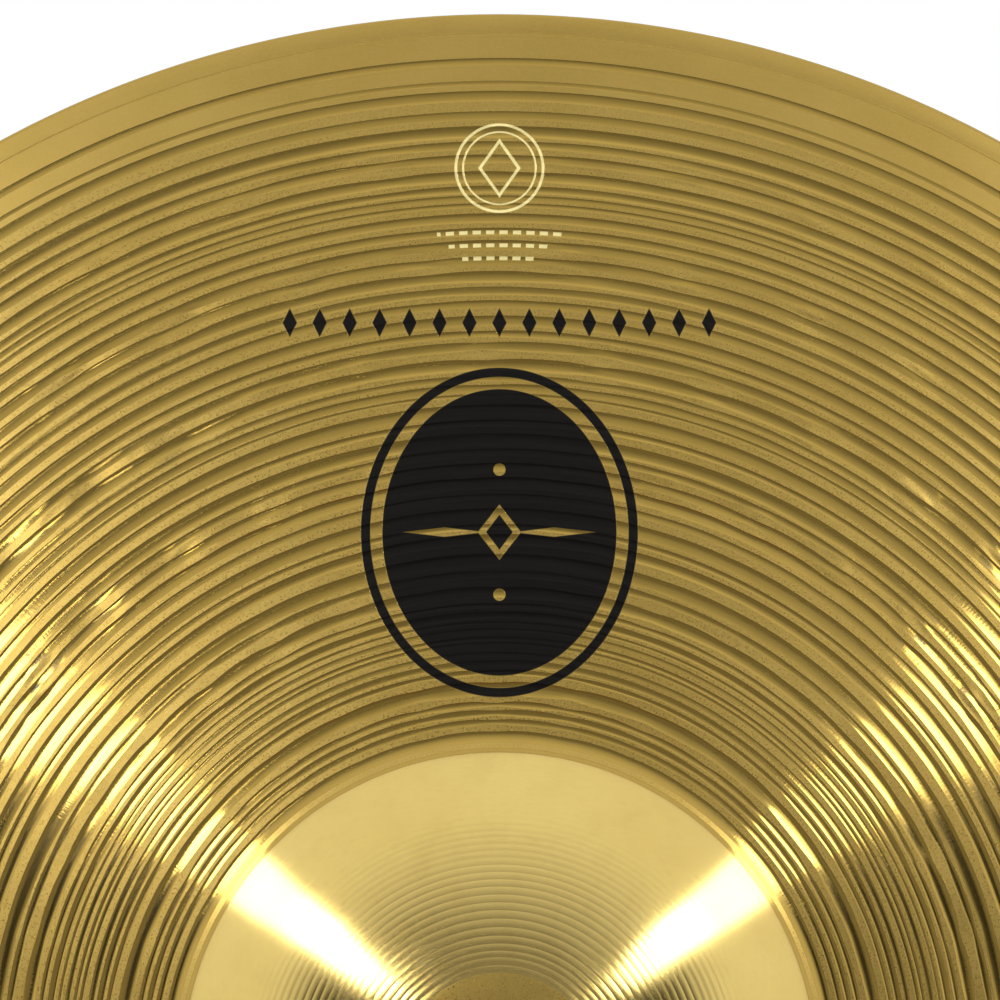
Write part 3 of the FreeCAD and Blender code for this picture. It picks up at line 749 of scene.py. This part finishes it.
def sweep(name, side, centre, distance, directions, width, thick, rows, relief, wear_of,
          material, turn=0.0, start_at=0.0, skew=0.0):
    """Sweeps the section rows along centre; relief gives mm along the normal.
    turn is about the cymbal's axis, start_at offsets the texture along the strip, and skew
    leans the last cut, in mm along the strip for each mm across it."""
    across, normal = directions
    width_share, inset, thick_share, lift, face = rows.T
    offset = width_share * width[:, None] / 2 + inset
    out = thick_share * thick[:, None] / 2 + lift
    travel = np.broadcast_to(distance[:, None], offset.shape)
    along = travel + start_at
    face = np.broadcast_to(face, offset.shape)
    half = np.broadcast_to(width[:, None] / 2, offset.shape)
    out = out + relief(along, offset, face, half)
    points = (centre[:, None, :] + offset[..., None] * across[:, None, :]
              + out[..., None] * normal[:, None, :])
    ahead = np.cross(across, normal)
    ahead *= np.sign((ahead[-2] * (centre[-1] - centre[-3])).sum())
    near_end = smooth_step(travel, distance[-1] - 7.0, distance[-1])
    points = points + (skew * offset * near_end)[..., None] * ahead[:, None, :]
    x, y, z = points[..., 0], points[..., 1], points[..., 2]
    cos, sin = math.cos(turn), math.sin(turn)
    points = np.stack([cos * x - sin * y, sin * x + cos * y, z], axis=-1)
    count, size = offset.shape
    caps = [list(range(size))[::-1], [(count - 1) * size + k for k in range(size)]]
    skin = np.stack([along, offset, face], axis=-1).reshape(-1, 3)
    wear_and_shade = wear_of(along, offset, face, half).reshape(-1, 3)
    return leather_object(name, to_row(points.reshape(-1, 3), side),
                          grid_faces(count, size, closed=False), caps, skin, wear_and_shade, material)


# The strap hangs from a pivot in the hole, in the plane (y, z) of the cymbal frame
DROOP = math.radians(60.0)
PIVOT = np.array([0.0, 43.4])
ALONG = np.array([-math.sin(DROOP), math.cos(DROOP)])
OUT = np.array([math.cos(DROOP), math.sin(DROOP)])
PLY = 1.42                  # distance of each ply from the middle plane
STRAP_FOOT = 35.42          # height of both ends
LOOP_R = 29.9
LOOP_REACH = 72             # from the pivot to the centre of the loop's bend
STRAP_NECK_WIDTH = 11.0
STRAP_GROOVE = 1.90         # distance of the groove from the strap's edge


def build_strap(side, material, seed):
    def at(reach, out):
        return PIVOT + ALONG * reach + OUT * out

    bend = [at(LOOP_REACH + LOOP_R * math.cos(turn), LOOP_R * math.sin(turn))
            for turn in np.radians(np.linspace(121, -121, 90))]
    points = np.array(
        [(PLY, STRAP_FOOT), (PLY, 44.18), at(1.0, PLY), at(12.4, PLY + 0.05)] + bend
        + [at(12.4, -PLY - 0.05), at(0.0, -PLY), (-PLY, 42.6), (-PLY, STRAP_FOOT)])

    def softness(path):
        return 0.16 + 0.84 * smooth_step((path - PIVOT) @ ALONG, 5.0, 16.0)

    path, distance = even_path(points, 0.85, 3.4, softness)
    tangent = np.gradient(path, axis=0)
    tangent /= np.linalg.norm(tangent, axis=1)[:, None]
    total = distance[-1]
    middle = total / 2
    away = (path - PIVOT) @ ALONG
    width = STRAP_NECK_WIDTH + 14.0 * smooth_step(away, 12.0, 41.0)
    width = width + (0.28 * soft_noise(distance * 0.22, seed=seed)
                     * smooth_step(away, 10, 30))
    nipped = STRAP_NECK_WIDTH - 0.55 * hump(path[:, 1], 37.6, 1.6)      # in the hole
    width = np.where(away < 4.0, nipped, width)
    thick = (2.68 + 0.30 * smooth_step(away, 12.0, 26.0)
             + 0.06 * soft_noise(distance * 0.3, seed=seed + 3))
    zero = 0 * distance
    centre = np.column_stack([zero, path])
    centre[:, 0] += 0.35 * np.sin(distance * 0.021 + seed) * smooth_step(away, 15, 60)
    # The strip rolls a little about its own line, as a worn strap does
    roll = (np.radians(2.6) * np.sin(2 * np.pi * distance / total * 1.5 + seed)
            * smooth_step(away, 20, 60))
    normal = np.column_stack([zero, tangent[:, 1], -tangent[:, 0]])
    directions = rolled(np.array([1.0, 0.0, 0.0]), normal, -roll)
    rows = section([0.55, 1.05, 1.55, STRAP_GROOVE, 2.25], centre_count=11, margin=3.0,
                   corner_r=0.55)

    def relief(along, offset, face, half):
        from_edge = half - np.abs(offset)
        wide = smooth_step(half, 6.0, 9.5)
        from_bend = np.abs(along - middle)
        groove = -0.17 * hump(from_edge, STRAP_GROOVE, 0.26) * (face > 0)
        sag = 0.22 * soft_noise(along * 0.16, offset * 0.20, seed + 5) * wide
        cup = ((0.42 * (1 - (offset / half) ** 2) - 0.25) * wide
               * (0.35 + 0.65 * hump(from_bend, 0.0, 34.0)))
        grain = (0.045 * soft_noise(along * 1.15, offset * 1.15, seed + 7)
                 + 0.028 * soft_noise(along * 2.1, offset * 2.1, seed + 9))
        # Ripples where the plies close on each other, fine cross creases round the far bend
        waver = 1.4 * soft_noise(along * 0.3, offset * 0.35, seed + 11)
        ripple = (hump(from_bend, middle - 24.0, 10.0) * 0.16 * np.sin(along * 1.55 + waver)
                  * (0.35 + 0.65 * (face <= 0)))
        crease = soft_noise(along * 1.9, offset * 0.18, seed + 13)
        crease = (-0.10 * smooth_step(crease, 0.35, 0.9)
                  * (0.3 + 0.7 * hump(from_bend, 0.0, 38.0)) * (face > 0))
        flesh = 0.06 * soft_noise(along * 1.7, offset * 2.3, seed + 15) * (face < 0)
        return groove + sag + cup + (grain + crease) * (face != 0) + ripple - flesh

    def wear_of(along, offset, face, half):
        from_edge = half - np.abs(offset)
        edge = np.where(face == 0, 1.0, 0.8 * np.clip(1 - from_edge, 0, 1) ** 0.8)
        groove = hump(from_edge, STRAP_GROOVE, 0.34) * (face > 0)
        # Fingers polish the far bend
        rub = hump(np.abs(along - middle), 0.0, 30.0) * (1 - (offset / half) ** 2)
        return np.stack([edge, groove, rub], axis=-1)

    return sweep("strap_" + side, side, centre, distance, directions, width, thick, rows,
                 relief, wear_of, material)


def build_thong(side, number, material, seed):
    """One of four thongs, a quarter turn apart: it folds back on itself, crosses the axis
    and ends in a free tail that sinks towards the rim plane."""
    rng = np.random.RandomState(seed)
    heel, drift, lift, reach, tip_lift, tail_roll, slow_roll, cut_lean = (
        rng.uniform(-1, 1, 12)[:8])
    lower_y, upper_y = -2.55, -4.5
    heel_x = 0.25 * heel
    points = np.array([
        (-2.5, lower_y, 35.38), (-2.5, lower_y, 34.4), (-3.1, lower_y, 33.35),
        (-13.9 + heel_x, lower_y - 0.15, 33.35), (-15.05 + heel_x, -3.2, 32.75),
        (-15.05 + heel_x, -3.85, 31.55), (-13.9 + heel_x, upper_y, 30.95),
        (-1.35, upper_y, 30.95), (1.35, upper_y, 28.55), (8.4, upper_y, 28.55),
        (18.7, upper_y - 0.3 * drift, 27.4),
        (24.0, upper_y - 0.9 * drift, 24.6 + 0.5 * lift),
        (28.2, upper_y - 1.9 * drift, 20.9 + 0.7 * lift),
        (31.2, upper_y - 3.2 * drift, 16.0 + 1.0 * lift),
        (32.8 + 0.8 * reach, upper_y - 4.2 * drift, 11.2 + 1.4 * tip_lift)])

    def softness(path):
        x = path[:, 0]
        return np.where(x > 14.0, 1.0, np.where((x > -4) & (x < 14), 0.12, 0.035))

    path, distance = even_path(points, 0.62, 2.6, softness)
    flat = np.gradient(path, axis=0)
    flat[:, 1] = 0
    flat /= np.linalg.norm(flat, axis=1)[:, None]
    normal = np.column_stack([flat[:, 2], 0 * distance, -flat[:, 0]])
    tail = smooth_step(path[:, 0], 14.0, 33.0)
    folded = smooth_step(distance, 12.0, 17.0)
    roll = (np.radians(26.0) * tail_roll * tail ** 1.3
            + np.radians(3.0) * slow_roll * np.sin(distance * 0.09))
    directions = rolled(np.array([0.0, 1.0, 0.0]), normal, roll)
    width = (4.9 + 1.45 * folded - 1.0 * tail
             + 0.22 * soft_noise(distance * 0.25, seed=seed + 1) * folded)
    width = width * (1 - 0.07 * smooth_step(distance, distance[-1] - 1.2, distance[-1]))
    thick = 2.26 - 0.35 * tail + 0.05 * soft_noise(distance * 0.4, seed=seed + 2)
    rows = section([0.48, 0.95], centre_count=7, margin=1.35, corner_r=0.48)

    def relief(along, offset, face, half):
        grain = 0.035 * soft_noise(along * 1.3, offset * 1.3, seed + 7)
        crease = soft_noise(along * 2.0, offset * 0.25, seed + 13)
        crease = -0.09 * smooth_step(crease, 0.3, 0.9) * (face > 0)
        cup = (0.16 * (1 - (offset / half) ** 2) - 0.10) * (face != 0)
        sag = 0.08 * soft_noise(along * 0.5, offset * 0.3, seed + 5)
        return (grain + crease) * (face != 0) + cup * (0.4 + 0.6 * face) + sag

    def wear_of(along, offset, face, half):
        from_edge = half - np.abs(offset)
        edge = np.where(face == 0, 1.0, 0.8 * np.clip(1 - from_edge / 0.8, 0, 1))
        return np.stack([edge, 0 * edge, 0 * edge], axis=-1)

    return sweep("thong_%s%d" % (side, number), side, path, distance, directions, width, thick,
                 rows, relief, wear_of, material, turn=math.radians(90.0 * (number - 1)),
                 start_at=400.0 * number, skew=0.62 if cut_lean > 0 else -0.62)


def build_washer(side, material, seed):
    """Leather disc round the strap; its grain face, towards the rim plane, bears the thongs."""
    segments = 168
    theta = np.linspace(0, 2 * np.pi, segments, endpoint=False)
    low, high, outer_r, hole_r = 34.55, 37.05, 20.0, 6.45
    # Profile: radius, height, face (1 grain, -1 flesh, 0 edge)
    profile = [(hole_r, low + 0.5, 0), (hole_r + 0.12, low + 0.18, -1),
               (hole_r + 0.45, low + 0.02, 1)]
    profile += [(radius, low, 1) for radius in np.linspace(7.6, 18.6, 17)]
    profile += [(19.2, low + 0.03, 1), (19.62, low + 0.17, 1), (19.88, low + 0.45, 0),
                (outer_r, low + 0.85, 0), (outer_r, low + 1.25, 0), (outer_r, high - 0.85, 0),
                (19.88, high - 0.45, 0), (19.62, high - 0.17, -1), (19.2, high - 0.03, -1)]
    profile += [(radius, high, -1) for radius in np.linspace(18.6, 7.6, 9)]
    profile += [(hole_r + 0.4, high - 0.05, -1), (hole_r, high - 0.5, 0),
                (hole_r, 0.5 * (low + high), 0)]
    radius, z, face = (np.array(column, float)[:, None] * np.ones(segments)
                       for column in zip(*profile))
    cut_line = harmonics(np.random.RandomState(seed), theta, (2, 3, 5, 9, 14), 1) * 0.16
    radius = radius + smooth_step(radius, 17.5, outer_r) * (cut_line - 0.14)
    x, y = radius * np.cos(theta), radius * np.sin(theta)
    grain = face > 0
    # The thongs press their outline into the face that they lie on
    dent = np.zeros_like(x)
    for quarter in range(4):
        turn = -math.radians(90.0 * quarter)
        along = x * math.cos(turn) - y * math.sin(turn)
        across = x * math.sin(turn) + y * math.cos(turn)
        inside = np.minimum(np.minimum(along + 16.6, -0.5 - along),
                            np.minimum(across + 5.4, 0.3 - across))
        dent = np.maximum(dent, smooth_step(inside, -0.9, 0.7))
    z = z + grain * (0.13 * dent + 0.05 * soft_noise(x * 0.35, y * 0.35, seed + 1)
                     + 0.02 * soft_noise(x * 1.6, y * 1.6, seed + 2))
    z = np.where(grain, np.maximum(z, low - 0.02), z)
    z = z + 0.05 * np.cos(3 * theta + seed) * smooth_step(radius, 12, 20) * (face != 0)
    edge = np.where(face == 0, 1.0, 0.85 * np.clip((radius - 18.4) / 1.3, 0, 1))
    # The second channel darkens the grain face in and just round the thongs' dents: painted shade
    # under the thongs
    wear_and_shade = np.stack([edge, 0.55 * dent * grain, 0 * edge], axis=-1).reshape(-1, 3)
    skin = np.stack([x + 60 * seed, y, face], axis=-1).reshape(-1, 3)
    points = to_row(np.stack([x, y, z], axis=-1).reshape(-1, 3), side)
    return leather_object("washer_" + side, points, grid_faces(*x.shape), [], skin, wear_and_shade,
                          material)


def leather_material(name, tone, deep, pale, flesh_tone, gloss):
    """Waxed leather: pebbled grain face, brushed fibre on the flesh, dark rubbed edges.
    gloss is the roughness of the grain face."""
    material, nodes, shader = new_material(name)
    ramp, mix, mix_value, noise = nodes.ramp, nodes.mix, nodes.mix_value, nodes.noise
    along, offset, face = nodes.split(nodes.attribute("skin"))
    edge, groove, rub = nodes.split(nodes.attribute("wear_and_shade"))
    grain = ramp(face, span=(0.1, 0.6))
    flesh = ramp(face, span=(-0.6, -0.1), to=(1.0, 0.0))
    flat = nodes.combine(along, offset, face * 7.0)     # keeps the two faces' textures apart

    def stretched(lengthwise, crosswise, layer):
        return nodes.combine(along * lengthwise, offset * crosswise, layer)

    cloud = noise(flat, scale=0.055, detail=3.0, rough=0.55)
    mottle = noise(flat, scale=0.35, detail=3.0, rough=0.6)
    waver = nodes.vector("SCALE", noise(flat, scale=1.4, detail=1.0, output=1), Scale=0.35)
    pebbles = nodes.fed("ShaderNodeTexVoronoi",
                        {"Vector": nodes.vector("ADD", flat, waver), "Scale": 2.1},
                        feature="DISTANCE_TO_EDGE", voronoi_dimensions="3D")
    cells = ramp(pebbles, span=(0.0, 0.18))
    pores = ramp(noise(flat, scale=3.2, detail=2.0, rough=0.6), span=(0.30, 0.42), to=(1.0, 0.0))
    fibre = noise(stretched(0.55, 2.6, layer=3.0), detail=4.0, rough=0.7)
    fuzz = noise(flat, scale=4.5, detail=3.0, rough=0.7)
    veins = noise(stretched(0.9, 0.16, layer=11.0), detail=3.0, rough=0.6)
    veins = ramp(abs(veins - 0.5), span=(0.0, 0.035), to=(1.0, 0.0))

    # Colour of the grain face
    rub_paling = 0.55
    base = mix(ramp(cloud, span=(0.32, 0.68)), tone, deep)
    base = mix(ramp(mottle, span=(0.40, 0.72)), base, pale, strength=0.45)
    base = mix(rub * (ramp(mottle, span=(0.3, 0.7)) * rub_paling), base, pale)
    base = mix(1.0 - cells, base, deep, strength=0.30)
    base = mix(pores, base, nodes.tint(deep, by=rgb(0.5, 0.45, 0.4)), strength=0.5)
    base = mix(veins, base, deep, strength=0.30)
    # Colour of the flesh face
    inner = mix(ramp(fibre, span=(0.32, 0.66)), flesh_tone, mix(0.55, flesh_tone, tone))
    inner = mix(ramp(fuzz, span=(0.52, 0.7)), inner,
                mix(0.4, flesh_tone, rgb(0.75, 0.66, 0.52)), strength=0.4)
    inner = mix(ramp(mottle, span=(0.45, 0.7)), inner, mix(0.5, flesh_tone, deep),
                strength=0.35)
    base = mix(flesh, base, inner)
    # Dark groove and edges; on the washer the groove channel is the dent under the thongs,
    # darkened as painted shade
    dark = nodes.tint(deep, by=rgb(0.42, 0.36, 0.32))
    base = mix(groove, base, dark, strength=0.62)
    edge_stain = 0.72 + mottle * 0.25
    base = mix(ramp(edge, span=(0.15, 0.95)) * edge_stain, base, dark)
    nodes.feed(shader, "Base Color", base)

    # Roughness: mottled, polished where rubbed, waxed at the edges, dull between pebbles
    rough = mix_value(flesh, low=gloss, high=0.86) + (mottle - 0.5) * 0.25
    rough = mix_value(rub, rough, rough - 0.12, strength=0.6)
    rough = mix_value(ramp(edge, span=(0.2, 0.9)), rough, 0.34 + mottle * 0.12)
    rough = mix_value(1.0 - cells, rough, rough + 0.15, strength=0.6)
    nodes.feed(shader, "Roughness", rough)
    nodes.feed(shader, "IOR", 1.47)
    flesh_sheen = 0.35
    nodes.feed(shader, "Sheen Weight", flesh * flesh_sheen)

    # Relief, mm
    cell_mm, pore_mm, vein_mm, fibre_mm, fuzz_mm, all_fuzz_mm = (
        0.042, 0.035, 0.035, 0.11, 0.07, 0.012)
    height = cells * grain * cell_mm
    height = height - pores * grain * pore_mm
    height = height - veins * grain * vein_mm
    height = height + fibre * (1.0 - grain) * fibre_mm
    height = height + fuzz * (1.0 - grain) * fuzz_mm
    height = height + fuzz * all_fuzz_mm
    nodes.bump(shader, height)
    return material


strap_leather = leather_material(
    "strap_leather", tone=srgb(150, 92, 44), deep=srgb(94, 53, 24), pale=srgb(184, 126, 66),
    flesh_tone=srgb(184, 144, 96), gloss=0.42)
washer_leather = leather_material(
    "washer_leather", tone=srgb(196, 154, 108), deep=srgb(150, 106, 66),
    pale=srgb(216, 182, 138), flesh_tone=srgb(206, 176, 138), gloss=0.52)

for side, sign, seed in (("a", 1.0, 11), ("b", -1.0, 47)):
    strap = build_strap(side, strap_leather, seed)
    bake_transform(strap)
    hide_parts("strap_band_" + side, "strap_throat_" + side)
    for number in (1, 2, 3, 4):
        thong = build_thong(side, number, strap_leather, seed * 10 + number)
        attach(thong, "knot_" + side)
        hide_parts("strap_thong_%s%d" % (side, number))
    washer = build_washer(side, washer_leather, seed)
    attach(washer, "knot_" + side)
    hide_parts("knot_washer_" + side)

# ---------------------------------------------------------------------------
# Studio
# ---------------------------------------------------------------------------
scene = bpy.context.scene
scene.view_settings.view_transform = "Standard"
scene.view_settings.look = "None"
scene.view_settings.exposure = 0.0


def radians(*angles):
    return tuple(math.radians(angle) for angle in angles)


def build_world():
    """Soft sky with two long strip boxes; the camera itself sees plain white."""
    world = bpy.data.worlds.new("studio")
    scene.world = world
    world.use_nodes = True
    world.node_tree.nodes.clear()
    nodes = Graph(world.node_tree)
    ramp, mix_value = nodes.ramp, nodes.mix_value
    output = nodes.node("ShaderNodeOutputWorld")
    generated = nodes.signal(nodes.node("ShaderNodeTexCoord"), "Generated")
    x, y, z = nodes.split(nodes.vector("NORMALIZE", generated))
    tilt = nodes.math("ARCCOSINE", nodes.math("MINIMUM", abs(y), 1.0))   # off the plates' axis
    swing = nodes.math("ARCTAN2", abs(x), z)                # round the axis, 0 is up
    left = ramp(x, span=(-0.02, 0.02), to=(1.0, 0.0))

    # Sky: dim near the axis, bright overhead, dark below
    over = ramp(tilt, span=radians(7, 58), to=(0.29, 0.84), kind="LINEAR")
    over = over * mix_value(left * ramp(swing, span=radians(12, 34)), 1.0,
                            ramp(tilt, span=radians(20, 34), to=(0.74, 1.0)))
    beside = mix_value(left, ramp(tilt, span=radians(28, 56), to=(0.040, 0.85)),
                       ramp(tilt, span=radians(28, 56), to=(0.030, 0.85)))
    sky = mix_value(ramp(swing, span=radians(44, 64)), over, beside)
    sky = sky * ramp(swing, span=radians(92, 120), to=(1.0, 0.16))

    # Strip boxes beside the vertical, narrow near the axis and wider further round
    centre = ramp(tilt, span=radians(10, 40), to=radians(62.0, 55.2), kind="LINEAR")
    half = ramp(tilt, span=radians(13, 28), to=radians(1.7, 4.1))
    strip = (ramp(abs(swing - centre) - half, span=radians(0.0, 2.3), to=(1.0, 0.0))
             * (ramp(tilt, span=radians(3, 7))
                * ramp(tilt, span=radians(88, 92), to=(1.0, 0.0))))
    power = (ramp(tilt, span=radians(20, 32), to=(7.4, 6.8))
             + ramp(tilt, span=radians(48, 68), to=(0.0, -3.0)))
    power = power * mix_value(left * ramp(tilt, span=radians(20, 34), to=(1.0, 0.0)),
                              low=ramp(tilt, span=radians(20, 34), to=(0.38, 1.0)), high=1.65)

    def background(colour, strength):
        return nodes.fed("ShaderNodeBackground", {"Color": colour, "Strength": strength})

    lighting = background(rgb(1.0, 0.985, 0.96), sky + strip * power)
    seen = background(rgb(1.0, 1.0, 1.0), 1.0)
    camera_ray = nodes.signal(nodes.node("ShaderNodeLightPath"), "Is Camera Ray")
    mixed = nodes.fed("ShaderNodeMixShader", {0: camera_ray, 1: lighting, 2: seen})
    nodes.feed(output, 0, mixed)


def build_floor():
    """Pale floor just under the plates, darker in reflections."""
    half = 60
    mesh = bpy.data.meshes.new("floor")
    corners = [(-half, -half, 0), (half, -half, 0), (half, half, 0), (-half, half, 0)]
    mesh.from_pydata(corners, [], [(0, 1, 2, 3)])
    floor = bpy.data.objects.new("floor", mesh)
    scene.collection.objects.link(floor)
    floor.location = (0, 0, plate_lo.z - 0.0005)
    material = bpy.data.materials.new("floor")
    material.use_nodes = True
    nodes = Graph(material.node_tree)
    shader = material.node_tree.nodes["Principled BSDF"]
    glossy_ray = nodes.signal(nodes.node("ShaderNodeLightPath"), "Is Glossy Ray")
    nodes.feed(shader, "Base Color",
               nodes.mix(glossy_ray, rgb(0.80, 0.80, 0.79), rgb(0.16, 0.15, 0.14)))
    nodes.feed(shader, "Roughness", 0.6)
    mesh.materials.append(material)


def build_camera():
    """Camera on the -Y side, looking along +Y at the upper part of cymbal a."""
    distance = 1.87             # from the rim plane of cymbal a
    view_width = 0.16964        # seen at that distance
    data = bpy.data.cameras.new("camera")
    camera = bpy.data.objects.new("camera", data)
    scene.collection.objects.link(camera)
    camera.location = (0.0001, RIM_Y - distance, 0.0954)
    camera.rotation_euler = (math.radians(90), 0, 0)
    data.sensor_width = 36.0
    data.lens = 36.0 * distance / view_width
    data.clip_start = 0.05
    data.clip_end = 200.0
    scene.camera = camera


build_world()
build_floor()
build_camera()
